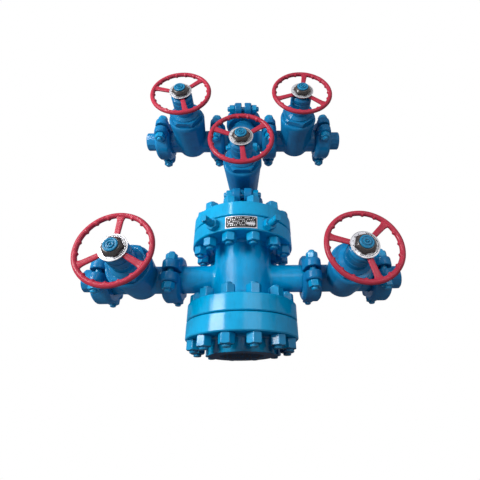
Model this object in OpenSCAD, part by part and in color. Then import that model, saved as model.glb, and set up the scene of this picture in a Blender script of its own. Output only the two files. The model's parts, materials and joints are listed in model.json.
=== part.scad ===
// Gas wellhead valve stack: a casing head, a tubing head with two annulus valves,
// a master valve, and a cross with two wing valves, joined by two-bolt hub clamps.
// It stands on the casing head's lower face. X runs along the side valves,
// the handwheels face -Y, and Z is the well's axis. All sizes are in millimetres.

/* [Flanges] */
// Outside diameter of the studded flanges
flange_d = 470; // [440:1:500]
// Thickness of one flange
flange_t = 69; // [60:1:80]
// Height of the raised face round the seal ring
raised_h = 1.5; // [1:0.5:3]
// Diameter of the raised face
raised_d = 308; // [296:1:320]
// Edge chamfer of a flange
flange_chamfer = 4; // [1:0.5:8]
// Pitch circle of the studs
stud_pcd = 394; // [380:1:400]
// Number of studs in a flange pair
stud_n = 12; // [8:2:16]
// Stud hole diameter
stud_hole_d = 39; // [30:1:42]

/* [Casing head] */
// Outside diameter of the neck below the flange
casing_neck_d = 280; // [260:1:290]
// Height of the neck below the flange
casing_neck_h = 58; // [56:1:90]
// Bore for the casing
casing_bore_d = 180; // [160:1:200]
// Fillet between the neck and the flange
casing_fillet = 10; // [4:1:16]

/* [Tubing head] */
// Body diameter between the flanges
spool_d = 262; // [240:1:280]
// Height of the body between the flanges
spool_h = 266; // [250:1:300]
// Bore of the tubing head
spool_bore_d = 160; // [140:1:170]
// Fillet between the body and a flange
spool_fillet = 12; // [4:1:18]
// Height of the side outlets above the lower flange
outlet_h = 130; // [120:1:150]
// Distance of an outlet's joint face from the well's axis
outlet_reach = 308; // [300:1:340]
// Diameter of the lock screws
lock_screw_d = 32; // [24:1:36]
// How far a lock screw stands out of its gland nut
lock_screw_out = 54; // [36:1:64]
// Width across flats of the gland nuts
gland_af = 50; // [42:1:54]
// Height of the gland nuts
gland_h = 24; // [16:1:30]
// Angle of the lock screws from the front or back
lock_angle = 30; // [26:1:34]
// Name plate width
plate_w = 137; // [100:1:160]
// Name plate height
plate_h = 57; // [40:1:60]
// Name plate thickness
plate_t = 1.5; // [1:0.5:3]

/* [Hub joints] */
// Bore of the flow path
run_bore_d = 65; // [50:1:80]
// Outside diameter of the necks on the flow path
run_neck_d = 123; // [112:1:128]
// Outside diameter of a clamp hub
hub_d = 158; // [150:1:164]
// Rim thickness of a clamp hub
hub_t = 20; // [14:1:24]
// Angle of a hub's back face
hub_angle = 25; // [15:1:35]

/* [Clamps] */
// Width of a clamp along the pipe
clamp_w = 82; // [76:1:90]
// Outside diameter of a clamp's shell
clamp_d = 206; // [200:1:214]
// Bevel of the shell's edges
clamp_bevel = 12; // [4:1:16]
// Distance of a clamp bolt from the pipe's axis
clamp_bolt_at = 110; // [108:1:120]
// Radius of a bolt lug
lug_r = 36; // [30:1:38]
// Gap between the two halves
clamp_gap = 18; // [10:1:24]
// Thickness of a lug
lug_t = 40; // [30:1:46]
// Rounding of a lug's outer edge
lug_round = 9; // [3:1:12]
// Bolt hole diameter
clamp_hole_d = 33; // [26:1:36]
// Clearance between a clamp and the parts inside it
clamp_clear = 0.3; // [0.1:0.1:0.6]

/* [Valves] */
// Half length of a valve between its joint faces
valve_half = 153; // [150:1:170]
// Largest diameter of the valve barrel
barrel_d = 189; // [180:1:196]
// Diameter that the barrel tapers to at its back end
barrel_back_d = 158; // [150:1:176]
// Diameter of the barrel at its front edge
rim_d = 184; // [176:1:188]
// Length over which the barrel narrows to its front edge
rim_w = 12; // [8:1:24]
// Distance of the barrel's front face from the pipe's axis
barrel_front = 190; // [182:1:196]
// Distance of the barrel's back end from the pipe's axis
barrel_back = 66; // [62:1:90]
// Rounding of the barrel's back end
barrel_round = 34; // [20:1:44]
// Width across flats of the bonnet's hexagon
bonnet_af = 154; // [140:1:158]
// Height of the bonnet's hexagon
bonnet_hex_h = 26; // [18:1:36]
// Diameter of the bonnet's shoulder above the hexagon
shoulder_d = 132; // [120:1:140]
// Diameter of the bearing neck
bearing_d = 104; // [90:1:112]
// Depth of the two grooves round the bearing neck
groove_depth = 3; // [1:0.5:5]
// Distance between the two grooves
groove_pitch = 42; // [30:1:48]
// Depth of the bonnet's spigot in the barrel
spigot_h = 46; // [30:1:60]
// Diameter of the bonnet's spigot
spigot_d = 140; // [120:1:150]

/* [Handwheels] */
// Outside diameter of a handwheel
wheel_d = 300; // [280:1:320]
// Thickness of the rim
wheel_rim_t = 21; // [16:1:24]
// Distance of the wheel's plane from the pipe's axis
wheel_at = 349; // [344:1:370]
// Number of spokes
spoke_n = 3; // [3:1:5]
// Width of a spoke at the hub
spoke_w = 21; // [16:1:26]
// Width of a spoke at the rim
spoke_rim_w = 27; // [18:1:34]
// Thickness of a spoke
spoke_t = 11; // [8:1:14]
// Finger bumps between two spokes
bump_n = 5; // [3:1:7]
// Radius of a finger bump
bump_r = 7; // [4:0.5:9]
// Height of a finger bump along the wheel's axis
bump_t = 12; // [8:1:15]
// Diameter of the wheel's hub
wheel_hub_d = 74; // [66:1:84]
// Diameter of the spindle that carries the wheel
spindle_d = 40; // [30:1:44]
// Length of the spindle inside the bearing neck
spindle_in = 42; // [30:1:60]
// Running clearance round the spindle
spindle_clear = 0.05; // [0.02:0.01:0.1]
// Gap between the wheel's hub and the bearing neck
wheel_gap = 0.3; // [0.2:0.1:0.6]
// Diameter of the indicator plate
dial_d = 110; // [100:1:120]
// Thickness of the indicator plate
dial_t = 2; // [1:0.5:3]
// Width across flats of the hub nut at its foot
hub_nut_af = 76; // [66:1:82]
// Diameter of the hub nut at its top
hub_nut_top_d = 62; // [58:1:66]
// Height of the hub nut
hub_nut_h = 20; // [16:1:30]
// Diameter of the stem cap
cap_d = 54; // [44:1:56]
// Height of the stem cap
cap_h = 10; // [6:1:14]

/* [Cross and ends] */
// Half length of the cross between its joint faces
cross_half = 148; // [144:1:160]
// Diameter of the cross's round body
cross_d = 206; // [190:1:214]
// Height of the adapter's joint face above its flange
adapter_h = 111; // [100:1:130]
// Length of an end hub
end_len = 100; // [90:1:130]
// Width across flats of an end hub's barrel
end_af = 100; // [94:1:108]
// Bore of an end hub for the line pipe
end_bore_d = 73; // [66:1:76]
// Depth of the line pipe's socket
end_socket = 68; // [50:1:80]
// Height of the tree cap above its joint face
tree_cap_h = 104; // [80:1:130]
// Diameter of the tree cap's neck
tree_cap_d = 96; // [80:1:112]

/* [Hidden] */
$fn = 96;
STEEL_BLUE = [0.05, 0.45, 0.75];
WHEEL_RED = [0.75, 0.18, 0.24];

// Heights from the casing head's lower face up
lower_pair_z = casing_neck_h;
joint_lower_z = lower_pair_z + flange_t + raised_h;
spool_z = joint_lower_z + raised_h + flange_t;
outlet_z = spool_z + outlet_h;
upper_pair_z = spool_z + spool_h;
joint_upper_z = upper_pair_z + flange_t + raised_h;
adapter_top_z = joint_upper_z + raised_h + flange_t;
master_low_z = adapter_top_z + adapter_h;
master_z = master_low_z + valve_half;
cross_low_z = master_z + valve_half;
cross_z = cross_low_z + cross_half;
cross_top_z = cross_z + cross_half;
annulus_x = outlet_reach + valve_half;
wing_x = cross_half + valve_half;
lock_z = upper_pair_z + flange_t / 2;
LOCK_ANGLES = [-lock_angle, lock_angle, 180 - lock_angle, 180 + lock_angle];
gland_corner_d = gland_af / cos(30);
gland_seat = sqrt(pow(flange_d, 2) - pow(gland_corner_d, 2)) / 2;
spot_face_d = gland_corner_d + 8;
pocket_clear = 0.2;
wall_end = 12;

// Each valve's place, whether its pipe runs upwards, its wheel's turn and its bonnet's turn
MASTER = [[0, 0, master_z], true, 36, 0];
LEFT_WING = [[-wing_x, 0, cross_z], false, 45, -4];
RIGHT_WING = [[wing_x, 0, cross_z], false, 80, -21];
LEFT_ANNULUS = [[-annulus_x, 0, outlet_z], false, 89, 0];
RIGHT_ANNULUS = [[annulus_x, 0, outlet_z], false, 43, -8];

// Turns a shape drawn along +Z so that it runs along +X, with its +Y side up
module along_x() {
    rotate([90, 0, 90]) children();
}

// Turns a shape drawn along +Z so that it runs along -Y, with its +Y side up
module along_stem() {
    rotate([90, 0, 0]) children();
}

// Places a valve's piece, drawn with its pipe along X and its stem along -Y
module at_valve(valve) {
    translate(valve[0])
        if (valve[1]) rotate([0, 90, 0]) children();
        else children();
}

// Places a wheel's piece, drawn along +Z from the wheel's plane, at its stem and turn
module at_wheel(valve) {
    translate(valve[0])
        along_stem()
            rotate([0, 0, valve[2]])
                children();
}

// A plain disc with both edges chamfered, from z = 0 up
module chamfered_disc(d, h, c) {
    rotate_extrude()
        polygon([[0, 0], [d / 2 - c, 0], [d / 2, c], [d / 2, h - c], [d / 2 - c, h], [0, h]]);
}

// The stud holes of one flange, from z = 0 up, clear of its front centre line
module stud_holes(h) {
    for (i = [0:stud_n - 1])
        rotate([0, 0, (i + 0.5) * 360 / stud_n])
            translate([stud_pcd / 2, 0, -1])
                cylinder(d = stud_hole_d, h = h + 2);
}

// A flange with its raised face on top, from z = 0 up
module studded_flange() {
    difference() {
        union() {
            chamfered_disc(flange_d, flange_t, flange_chamfer);
            cylinder(d = raised_d, h = flange_t + raised_h);
        }
        stud_holes(flange_t);
    }
}

// A neck that ends in a clamp hub: the joint face is at z = 0 and the neck goes down
module hub_end(len) {
    back = hub_t + (hub_d - run_neck_d) / 2 * tan(hub_angle);
    rotate_extrude()
        polygon([
            [0, -len], [run_neck_d / 2, -len], [run_neck_d / 2, -back],
            [hub_d / 2, -hub_t], [hub_d / 2, -2], [hub_d / 2 - 2, 0], [0, 0]
        ]);
}

// A ring that fills the corner where a round body leaves a flange at z = 0
module corner_fillet(d, r) {
    rotate_extrude()
        difference() {
            translate([d / 2 - 1, 0]) square([r + 1, r]);
            translate([d / 2 + r, r]) circle(r);
        }
}

// The casing head's neck, which stands on the casing
module casing_head() {
    color(STEEL_BLUE)
        difference() {
            union() {
                cylinder(d = casing_neck_d, h = casing_neck_h);
                translate([0, 0, casing_neck_h]) mirror([0, 0, 1]) corner_fillet(casing_neck_d, casing_fillet);
            }
            translate([0, 0, -1]) cylinder(d = casing_bore_d, h = casing_neck_h + 2);
        }
}

module casing_head_flange() {
    color(STEEL_BLUE)
        translate([0, 0, lower_pair_z])
            difference() {
                studded_flange();
                translate([0, 0, -1]) cylinder(d = casing_bore_d, h = flange_t + raised_h + 2);
            }
}

// The tubing head's body between its flanges, with the two outlets for the annulus valves
module tubing_head() {
    color(STEEL_BLUE)
        difference() {
            union() {
                translate([0, 0, spool_z]) cylinder(d = spool_d, h = spool_h);
                translate([0, 0, spool_z]) corner_fillet(spool_d, spool_fillet);
                translate([0, 0, upper_pair_z]) mirror([0, 0, 1]) corner_fillet(spool_d, spool_fillet);
                for (side = [0, 1])
                    mirror([side, 0, 0])
                        translate([outlet_reach, 0, outlet_z])
                            along_x() hub_end(outlet_reach);
            }
            translate([0, 0, spool_z - 1]) cylinder(d = spool_bore_d, h = spool_h + 2);
            translate([-outlet_reach - 1, 0, outlet_z])
                along_x() cylinder(d = run_bore_d, h = 2 * outlet_reach + 2);
        }
}

module tubing_head_lower_flange() {
    color(STEEL_BLUE)
        translate([0, 0, spool_z])
            mirror([0, 0, 1])
                difference() {
                    studded_flange();
                    translate([0, 0, -1]) cylinder(d = spool_bore_d, h = flange_t + raised_h + 2);
                }
}

// The upper flange holds the lock screws, whose gland nuts sit on flat spot faces
module tubing_head_upper_flange() {
    color(STEEL_BLUE)
        difference() {
            translate([0, 0, upper_pair_z]) studded_flange();
            translate([0, 0, upper_pair_z - 1]) cylinder(d = spool_bore_d, h = flange_t + raised_h + 2);
            for (a = LOCK_ANGLES)
                rotate([0, 0, a])
                    translate([0, 0, lock_z])
                        along_stem() {
                            cylinder(d = lock_screw_d + 2 * clamp_clear, h = flange_d);
                            translate([0, 0, gland_seat]) cylinder(d = spot_face_d, h = gland_h);
                        }
        }
}

// One lock screw with its gland, drawn along +Z with the gland's seat at z = 0
module lock_screw() {
    depth = gland_seat - spool_bore_d / 2 - wall_end;
    difference() {
        union() {
            translate([0, 0, -depth]) cylinder(d = lock_screw_d, h = depth + gland_h + lock_screw_out);
            intersection() {
                rotate([0, 0, 30]) cylinder(d = gland_corner_d, h = gland_h, $fn = 6);
                chamfered_disc(gland_corner_d - 1, gland_h, 3);
            }
        }
        for (a = [0:90:270])
            rotate([0, 0, a])
                translate([lock_screw_d / 2 - 2.5, -lock_screw_d, gland_h + lock_screw_out - 22])
                    cube([lock_screw_d, 2 * lock_screw_d, 30]);
    }
}

module lock_screws() {
    color(STEEL_BLUE)
        for (a = LOCK_ANGLES)
            rotate([0, 0, a])
                translate([0, -gland_seat, lock_z])
                    along_stem() lock_screw();
}

// A thin plate bent round the flange's rim
module name_plate() {
    half_angle = plate_w / flange_d * 180 / PI;
    color("silver")
        translate([0, 0, lock_z - plate_h / 2])
            rotate([0, 0, -90 - half_angle])
                rotate_extrude(angle = 2 * half_angle)
                    translate([flange_d / 2, 0]) square([plate_t, plate_h]);
}

module tubing_adapter() {
    color(STEEL_BLUE)
        difference() {
            union() {
                translate([0, 0, adapter_top_z]) mirror([0, 0, 1]) studded_flange();
                translate([0, 0, master_low_z]) hub_end(adapter_h);
                translate([0, 0, adapter_top_z]) corner_fillet(run_neck_d, spool_fillet);
            }
            translate([0, 0, joint_upper_z - 1])
                cylinder(d = run_bore_d, h = master_low_z - joint_upper_z + 2);
        }
}

module cross() {
    color(STEEL_BLUE)
        translate([0, 0, cross_z])
            difference() {
                union() {
                    intersection() {
                        sphere(d = cross_d);
                        cube(cross_d * 0.93, center = true);
                    }
                    for (side = [0, 1])
                        mirror([side, 0, 0])
                            translate([cross_half, 0, 0]) along_x() hub_end(cross_half);
                    for (side = [0, 1])
                        mirror([0, 0, side])
                            translate([0, 0, cross_half]) hub_end(cross_half);
                }
                cylinder(d = run_bore_d, h = 2 * cross_half + 2, center = true);
                along_x() cylinder(d = run_bore_d, h = 2 * cross_half + 2, center = true);
            }
}

module tree_cap() {
    back = hub_t + (hub_d - run_neck_d) / 2 * tan(hub_angle);
    color(STEEL_BLUE)
        translate([0, 0, cross_top_z])
            difference() {
                union() {
                    rotate([180, 0, 0]) hub_end(clamp_w / 2 + 6);
                    chamfered_disc(tree_cap_d, tree_cap_h - 22, 6);
                    rotate([0, 0, 30]) cylinder(d = 46 / cos(30), h = tree_cap_h, $fn = 6);
                }
                translate([0, 0, -1]) cylinder(d = run_bore_d, h = back + 1);
                translate([0, 0, back - 1]) cylinder(d = 12, h = tree_cap_h);
            }
}

// An end hub for the line pipe, with its joint face at z = 0, running up
module end_hub() {
    difference() {
        union() {
            rotate([180, 0, 0]) hub_end(clamp_w / 2 + 4);
            intersection() {
                cylinder(d = end_af / cos(15), h = end_len, $fn = 12);
                chamfered_disc(end_af / cos(15) - 0.6, end_len, 4);
            }
        }
        translate([0, 0, -1]) cylinder(d = run_bore_d, h = end_len);
        translate([0, 0, end_len - end_socket]) cylinder(d = end_bore_d, h = end_socket + 1);
    }
}

module end_hub_pair(reach, z) {
    color(STEEL_BLUE)
        for (side = [0, 1])
            mirror([side, 0, 0])
                translate([reach, 0, z]) along_x() end_hub();
}

// The barrel's outline, from its rounded back end along its taper to its bevelled front edge
module barrel_profile() {
    r = barrel_d / 2;
    r_back = barrel_back_d / 2;
    difference() {
        union() {
            polygon([
                [0, -barrel_back], [r_back - barrel_round, -barrel_back], [r_back, -barrel_back + barrel_round],
                [r, barrel_front - rim_w], [rim_d / 2, barrel_front - 4], [rim_d / 2 - 4, barrel_front],
                [0, barrel_front]
            ]);
            intersection() {
                translate([r_back - barrel_round, -barrel_back + barrel_round]) circle(barrel_round);
                translate([0, -barrel_back]) square([r, barrel_round]);
            }
        }
        translate([-1, barrel_front - spigot_h - pocket_clear]) square([spigot_d / 2 + pocket_clear + 1, spigot_h + 2]);
    }
}

// A valve body, with its pipe along X and its stem along -Y
module valve_body(valve) {
    color(STEEL_BLUE)
        at_valve(valve)
            difference() {
                union() {
                    along_stem() rotate_extrude() barrel_profile();
                    for (side = [0, 1])
                        mirror([side, 0, 0])
                            translate([valve_half, 0, 0]) along_x() hub_end(valve_half);
                }
                along_x() cylinder(d = run_bore_d, h = 2 * valve_half + 2, center = true);
                along_stem()
                    translate([0, 0, barrel_front - spigot_h - pocket_clear])
                        cylinder(d = spigot_d + 2 * pocket_clear, h = spigot_h + 10);
            }
}

// The outline of a groove round the bearing neck, centred at a height
function neck_groove(at) = [
    [bearing_d / 2, at - 5.5], [bearing_d / 2 - groove_depth, at - 2.5],
    [bearing_d / 2 - groove_depth, at + 2.5], [bearing_d / 2, at + 5.5]
];

// The bonnet, drawn along +Z from the pipe's axis: spigot, hexagon, shoulder, bearing neck
module bonnet(valve) {
    hex_top = barrel_front + bonnet_hex_h;
    neck_end = wheel_at - wheel_rim_t / 2 - wheel_gap;
    color(STEEL_BLUE)
        translate(valve[0])
            along_stem()
                difference() {
                    union() {
                        translate([0, 0, barrel_front - spigot_h]) cylinder(d = spigot_d, h = spigot_h + 1);
                        translate([0, 0, barrel_front])
                            rotate([0, 0, valve[3]]) intersection() {
                                cylinder(d = bonnet_af / cos(30), h = bonnet_hex_h, $fn = 6);
                                chamfered_disc(bonnet_af / cos(30) - 2, bonnet_hex_h, 7);
                            }
                        rotate_extrude()
                            polygon(concat(
                                [[0, hex_top - 1], [shoulder_d / 2, hex_top - 1], [shoulder_d / 2, hex_top + 4],
                                 [bearing_d / 2, hex_top + 18]],
                                neck_groove(neck_end - 28 - groove_pitch),
                                neck_groove(neck_end - 28),
                                [[bearing_d / 2, neck_end - 8], [bearing_d / 2 - 8, neck_end], [0, neck_end]]
                            ));
                    }
                    translate([0, 0, neck_end - spindle_in - 2])
                        cylinder(r = spindle_d / 2 + spindle_clear, h = spindle_in + 3);
                }
}

// One spoke in the wheel's plane: an oval bar that widens towards the rim
module spoke() {
    inner = wheel_hub_d / 2 - 4;
    outer = wheel_d / 2 - wheel_rim_t / 2;
    fillet = 9;
    intersection() {
        translate([0, 0, -spoke_t / 2])
            linear_extrude(height = spoke_t)
                polygon([
                    [inner, -spoke_w / 2], [outer - wheel_rim_t / 2 - fillet, -spoke_rim_w / 2],
                    [outer - wheel_rim_t / 2 + 2, -spoke_rim_w / 2 - fillet], [outer, -spoke_rim_w / 2 - fillet],
                    [outer, spoke_rim_w / 2 + fillet], [outer - wheel_rim_t / 2 + 2, spoke_rim_w / 2 + fillet],
                    [outer - wheel_rim_t / 2 - fillet, spoke_rim_w / 2], [inner, spoke_w / 2]
                ]);
        cylinder(r = outer, h = spoke_t + 2, center = true);
    }
}

// The handwheel, drawn in its own plane with its spindle towards -Z
module handwheel(valve) {
    rim_r = wheel_d / 2 - wheel_rim_t / 2;
    pitch = 360 / spoke_n / (bump_n + 1);
    hub_h = wheel_rim_t;
    color(WHEEL_RED)
        at_wheel(valve)
            translate([0, 0, wheel_at]) {
                rotate_extrude() translate([rim_r, 0]) circle(d = wheel_rim_t);
                for (i = [0:spoke_n - 1])
                    rotate([0, 0, i * 360 / spoke_n]) {
                        spoke();
                        for (j = [1:bump_n])
                            rotate([0, 0, j * pitch])
                                translate([rim_r - wheel_rim_t / 2 + 2.5, 0, -bump_t / 2])
                                    chamfered_disc(2 * bump_r, bump_t, 2);
                    }
                translate([0, 0, -hub_h / 2]) chamfered_disc(wheel_hub_d, hub_h, 3);
                translate([0, 0, -hub_h / 2 - wheel_gap - spindle_in]) cylinder(d = spindle_d, h = spindle_in + hub_h / 2);
            }
}

// The round indicator plate that lies on the wheel's hub
module dial(valve) {
    color("white")
        at_wheel(valve)
            translate([0, 0, wheel_at + wheel_rim_t / 2])
                cylinder(d = dial_d, h = dial_t);
}

// The tapered six-sided nut that holds the wheel
module hub_nut(valve) {
    flat = hub_nut_af / cos(30);
    color([0.12, 0.1, 0.1])
        at_wheel(valve)
            translate([0, 0, wheel_at + wheel_rim_t / 2 + dial_t])
                intersection() {
                    cylinder(d = flat, h = hub_nut_h, $fn = 6);
                    cylinder(d1 = flat + 4, d2 = hub_nut_top_d, h = hub_nut_h);
                }
}

// The round cap over the stem, with two rings and a centre point
module stem_cap(valve) {
    color([0.18, 0.58, 0.8])
        at_wheel(valve)
            translate([0, 0, wheel_at + wheel_rim_t / 2 + dial_t + hub_nut_h])
                rotate_extrude()
                    polygon([
                        [0, 0], [cap_d / 2, 0], [cap_d / 2, cap_h * 0.5], [cap_d / 2 - 3, cap_h * 0.7],
                        [cap_d * 0.33, cap_h * 0.7], [cap_d * 0.33, cap_h * 0.5], [cap_d * 0.26, cap_h * 0.5],
                        [cap_d * 0.26, cap_h * 0.9], [cap_d * 0.15, cap_h * 0.9], [cap_d * 0.15, cap_h * 0.6],
                        [cap_d * 0.06, cap_h * 0.6], [cap_d * 0.06, cap_h], [0, cap_h]
                    ]);
}

// The hollow inside a clamp: the two hubs and their necks with a clearance all round
module clamp_hollow() {
    c = clamp_clear;
    neck = run_neck_d / 2 + c;
    rim = hub_d / 2 + c;
    low = hub_t + c;
    back = low + (rim - neck) * tan(hub_angle);
    rotate_extrude()
        polygon([
            [0, -clamp_w], [neck, -clamp_w], [neck, -back], [rim, -low],
            [rim, low], [neck, back], [neck, clamp_w], [0, clamp_w]
        ]);
}

// One bolt lug of the upper half, standing on the split plane, with a rounded outer edge
module lug() {
    start = clamp_gap / 2;
    translate([clamp_bolt_at, start, 0])
        rotate([-90, 0, 0])
            rotate_extrude()
                union() {
                    square([lug_r, lug_t - lug_round]);
                    square([lug_r - lug_round, lug_t]);
                    translate([lug_r - lug_round, lug_t - lug_round]) circle(lug_round);
                }
    translate([clamp_bolt_at - lug_r - 20, start, -lug_r])
        cube([lug_r + 20, lug_t - lug_round, 2 * lug_r]);
}

// One half of a clamp, above the split plane, with its pipe along Z
module clamp_half() {
    r = clamp_d / 2;
    h = clamp_w / 2;
    difference() {
        union() {
            intersection() {
                rotate_extrude()
                    polygon([
                        [0, -h], [r - clamp_bevel, -h], [r, -h + clamp_bevel],
                        [r, h - clamp_bevel], [r - clamp_bevel, h], [0, h]
                    ]);
                translate([-r - 1, clamp_gap / 2, -h - 1]) cube([2 * r + 2, r + 1, clamp_w + 2]);
            }
            for (side = [0, 1]) mirror([side, 0, 0]) lug();
        }
        clamp_hollow();
        for (side = [-1, 1])
            translate([side * clamp_bolt_at, 0, 0])
                rotate([-90, 0, 0]) cylinder(d = clamp_hole_d, h = r + 10);
    }
}

// Both halves, with the pipe along Z and the bolts along Y
module clamp() {
    color(STEEL_BLUE)
        for (side = [0, 1]) mirror([0, side, 0]) clamp_half();
}

// A clamp on the well's own axis, its bolts running left to right
module upright_clamp(z) {
    translate([0, 0, z]) rotate([0, 0, 90]) clamp();
}

// A clamp on a side run, its bolts upright
module side_clamp(x, z) {
    translate([x, 0, z]) along_x() clamp();
}

casing_head();
casing_head_flange();
tubing_head();
tubing_head_lower_flange();
tubing_head_upper_flange();
lock_screws();
name_plate();
tubing_adapter();
cross();
tree_cap();
end_hub_pair(wing_x + valve_half, cross_z);  // upper_end_hubs
end_hub_pair(annulus_x + valve_half, outlet_z);  // lower_end_hubs

valve_body(MASTER);  // master_valve_body
valve_body(LEFT_WING);  // left_wing_valve_body
valve_body(RIGHT_WING);  // right_wing_valve_body
valve_body(LEFT_ANNULUS);  // left_annulus_valve_body
valve_body(RIGHT_ANNULUS);  // right_annulus_valve_body

bonnet(MASTER);  // master_bonnet
bonnet(LEFT_WING);  // left_wing_bonnet
bonnet(RIGHT_WING);  // right_wing_bonnet
bonnet(LEFT_ANNULUS);  // left_annulus_bonnet
bonnet(RIGHT_ANNULUS);  // right_annulus_bonnet

handwheel(MASTER);  // master_handwheel
handwheel(LEFT_WING);  // left_wing_handwheel
handwheel(RIGHT_WING);  // right_wing_handwheel
handwheel(LEFT_ANNULUS);  // left_annulus_handwheel
handwheel(RIGHT_ANNULUS);  // right_annulus_handwheel

dial(MASTER);  // master_dial
dial(LEFT_WING);  // left_wing_dial
dial(RIGHT_WING);  // right_wing_dial
dial(LEFT_ANNULUS);  // left_annulus_dial
dial(RIGHT_ANNULUS);  // right_annulus_dial

hub_nut(MASTER);  // master_hub_nut
hub_nut(LEFT_WING);  // left_wing_hub_nut
hub_nut(RIGHT_WING);  // right_wing_hub_nut
hub_nut(LEFT_ANNULUS);  // left_annulus_hub_nut
hub_nut(RIGHT_ANNULUS);  // right_annulus_hub_nut

stem_cap(MASTER);  // master_stem_cap
stem_cap(LEFT_WING);  // left_wing_stem_cap
stem_cap(RIGHT_WING);  // right_wing_stem_cap
stem_cap(LEFT_ANNULUS);  // left_annulus_stem_cap
stem_cap(RIGHT_ANNULUS);  // right_annulus_stem_cap

upright_clamp(master_low_z);  // adapter_clamp
upright_clamp(cross_low_z);  // cross_clamp
upright_clamp(cross_top_z);  // cap_clamp
side_clamp(-cross_half, cross_z);  // left_wing_inner_clamp
side_clamp(-wing_x - valve_half, cross_z);  // left_wing_outer_clamp
side_clamp(cross_half, cross_z);  // right_wing_inner_clamp
side_clamp(wing_x + valve_half, cross_z);  // right_wing_outer_clamp
side_clamp(-outlet_reach, outlet_z);  // left_annulus_inner_clamp
side_clamp(-annulus_x - valve_half, outlet_z);  // left_annulus_outer_clamp
side_clamp(outlet_reach, outlet_z);  // right_annulus_inner_clamp
side_clamp(annulus_x + valve_half, outlet_z);  // right_annulus_outer_clamp
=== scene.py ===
"""The looks of the gas wellhead valve stack: its enamel, bolting, handwheels, dials and plate.

Everything is in metres in the frame's own axes: +Z up the well, -Y to the side that the handwheels face.
"""
import json
import math

import bpy
import numpy as np
from mathutils import Matrix, Vector


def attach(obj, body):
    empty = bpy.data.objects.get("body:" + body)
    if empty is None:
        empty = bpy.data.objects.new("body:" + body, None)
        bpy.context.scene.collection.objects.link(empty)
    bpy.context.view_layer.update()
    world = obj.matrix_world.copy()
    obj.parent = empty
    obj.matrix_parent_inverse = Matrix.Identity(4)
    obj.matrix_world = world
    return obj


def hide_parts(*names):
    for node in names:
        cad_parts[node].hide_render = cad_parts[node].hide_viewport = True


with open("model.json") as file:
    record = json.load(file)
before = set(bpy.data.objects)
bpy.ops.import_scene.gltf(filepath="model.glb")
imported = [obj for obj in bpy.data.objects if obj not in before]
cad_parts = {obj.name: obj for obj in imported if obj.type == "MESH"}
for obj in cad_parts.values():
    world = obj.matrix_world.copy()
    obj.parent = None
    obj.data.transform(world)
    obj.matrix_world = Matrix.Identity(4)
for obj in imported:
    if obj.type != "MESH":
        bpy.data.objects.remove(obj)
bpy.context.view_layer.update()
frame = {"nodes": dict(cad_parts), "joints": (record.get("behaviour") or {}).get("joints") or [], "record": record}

MM = 0.001
TURN = 2 * math.pi
QUARTER = TURN / 4

# Heights on the well's axis
LOWER_PAIR = (0.058, 0.199)
UPPER_PAIR = (0.465, 0.606)
PLATE_HEIGHT = 0.4995
OUTLET_HEIGHT = 0.329
CROSS_HEIGHT = 1.171
UPRIGHT_CLAMPS = {"adapter_clamp": 0.717, "cross_clamp": 1.023, "cap_clamp": 1.319}

# Distances of the side clamps from the well's axis
WING_CLAMPS = (0.148, 0.454)
ANNULUS_CLAMPS = (0.308, 0.614)

# How far each handwheel stands turned, in degrees anticlockwise from the right
WHEEL_TURN = {"master": 36, "left_wing": 45, "right_wing": 80, "left_annulus": 89, "right_annulus": 43}
WHEEL_PLACE = {j["child"].removesuffix("_wheel"): Vector(j["pos_m"]) for j in frame["joints"]}

FLANGE_RADIUS = 0.235
RUN_NECK_RADIUS = 61.5 * MM

# A dark navy for the runs of the spray gun, and for the painted shade in corners
DARK_RUNS_AND_SHADE = "#04101C"
# A pale blue-white laid along edges: thinly worn film, and also a painted highlight
THIN_FILM_AND_HIGHLIGHT = "#BFE6F6"

# The sockets of a Mix node when it mixes colours
MIX_AMOUNT, MIX_UNDER, MIX_OVER, MIX_RESULT = 0, 6, 7, 2


def linear(hex_colour):
    """An sRGB hex colour as the linear numbers that a shader wants."""
    channels = [int(hex_colour[i:i + 2], 16) / 255 for i in (1, 3, 5)]
    return [c / 12.92 if c <= 0.04045 else ((c + 0.055) / 1.055) ** 2.4 for c in channels] + [1.0]


def mixed(hex_colour, other, share):
    """A hex colour moved a share of the way to another."""
    pairs = [(int(hex_colour[i:i + 2], 16), int(other[i:i + 2], 16)) for i in (1, 3, 5)]
    return "#" + "".join(f"{round(a + (b - a) * share):02X}" for a, b in pairs)


def add(tree, kind, settings=None):
    """Adds a node with its settings and links.

    A key is a property or a socket. Its value is a plain one, a hex colour, a node whose first output is
    linked there, or one of a node's outputs.
    """
    node = tree.nodes.new("ShaderNode" + kind)
    for key, value in (settings or {}).items():
        if isinstance(value, bpy.types.Node):
            value = value.outputs[0]
        if isinstance(value, bpy.types.NodeSocket):
            tree.links.new(value, node.inputs[key])
        elif isinstance(key, str) and hasattr(node, key):
            setattr(node, key, value)
        else:
            node.inputs[key].default_value = linear(value) if isinstance(value, str) else value
    return node


def blank_material(name):
    """A material with an empty tree, its tree, and where a piece's own points come in."""
    material = bpy.data.materials.new(name)
    material.use_nodes = True
    tree = material.node_tree
    tree.nodes.clear()
    return material, tree, add(tree, "TexCoord").outputs["Object"]


def product(tree, first, *others):
    """The product of several values or node outputs."""
    for other in others:
        first = add(tree, "Math", {"operation": "MULTIPLY", 0: first, 1: other})
    return first


def largest(tree, first, *others):
    """The largest of several values or node outputs."""
    for other in others:
        first = add(tree, "Math", {"operation": "MAXIMUM", 0: first, 1: other})
    return first


def without(tree, value, cut):
    """A value where a cut isn't 1: the value times what the cut leaves of 1."""
    return product(tree, value, add(tree, "Math", {"operation": "SUBTRACT", 0: 1.0, 1: cut}))


def laid_over(tree, under, over, *amounts):
    """One colour laid over another by the product of several amounts."""
    settings = {"data_type": "RGBA", MIX_AMOUNT: product(tree, *amounts), MIX_UNDER: under, MIX_OVER: over}
    return add(tree, "Mix", settings).outputs[MIX_RESULT]


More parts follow.
